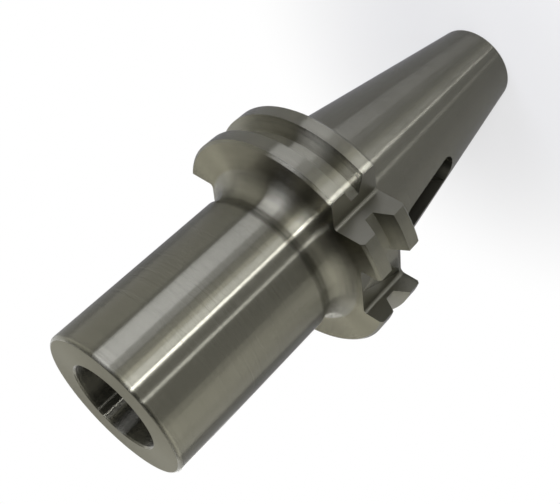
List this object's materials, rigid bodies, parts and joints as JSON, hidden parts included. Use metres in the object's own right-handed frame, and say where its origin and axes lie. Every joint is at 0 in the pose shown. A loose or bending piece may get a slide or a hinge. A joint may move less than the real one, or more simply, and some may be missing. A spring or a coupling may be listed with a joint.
{
  "type": "morse taper adapter",
  "caption": "Steel tool holder with a steep taper shank, a slotted gripper flange, a cylindrical nose with a self-holding taper socket, and a drift slot through the shank.",
  "frame": {"origin": "centre of the shank's small end, where the adapter stands", "axes": "+Z along the axis towards the nose, +X through the shallower drive slot and along the drift slot"},
  "size_m": [0.0614, 0.0636, 0.1434],
  "materials": {
    "ground_steel": "fine turned and ground steel, satin, with a slight warm tint"
  },
  "bodies": {
    "root": {"adapter_body": "ground_steel"}
  },
  "joints": []
}
